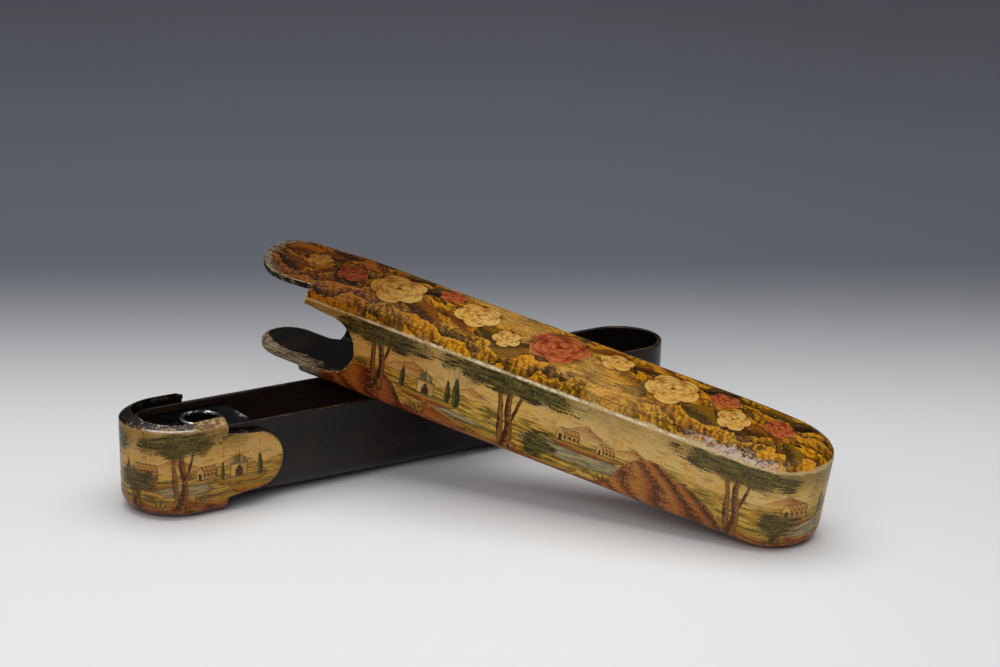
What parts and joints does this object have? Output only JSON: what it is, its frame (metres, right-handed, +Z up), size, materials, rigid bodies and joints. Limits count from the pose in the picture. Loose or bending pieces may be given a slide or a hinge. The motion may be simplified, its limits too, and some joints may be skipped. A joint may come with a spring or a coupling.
{
  "type": "qalamdan pen box",
  "caption": "Lacquered pasteboard pen box lying open: a long round-ended case with tongues leans across its pen drawer, which has a scalloped head and an inkwell.",
  "frame": {"origin": "on the table, under the middle of the open box's bounding box", "axes": "+Z up, +X along the case seen from above, from its mouth to its closed end; the drawer's head is at the front left"},
  "size_m": [0.2451, 0.2014, 0.0797],
  "materials": {
    "painted_lacquer": "painted pasteboard under glossy amber varnish",
    "painted_head": "painted pasteboard under glossy amber varnish",
    "black_lacquer": "glossy black lacquer on pasteboard",
    "dark_metal": "brass sheet, blackened by ink and handling",
    "bright_metal": "tinned brass, worn bright"
  },
  "bodies": {
    "drawer": {"drawer_tray": "black_lacquer", "drawer_head": "painted_head"},
    "case": {"case": "painted_lacquer"},
    "inkwell": {"inkwell_body": "dark_metal", "inkwell_top": "dark_metal", "inkwell_collar": "bright_metal"}
  },
  "joints": [
    {"name": "case_slide", "type": "slide", "parent": "drawer", "child": "case", "axis": [-0.9807, -0.0079, 0.1954], "range_m": [0, 0.195]},
    {"name": "inkwell_lift", "type": "slide", "parent": "drawer", "child": "inkwell", "axis": [0.0077, 0.0132, 0.9999], "range_m": [0, 0.04]}
  ]
}
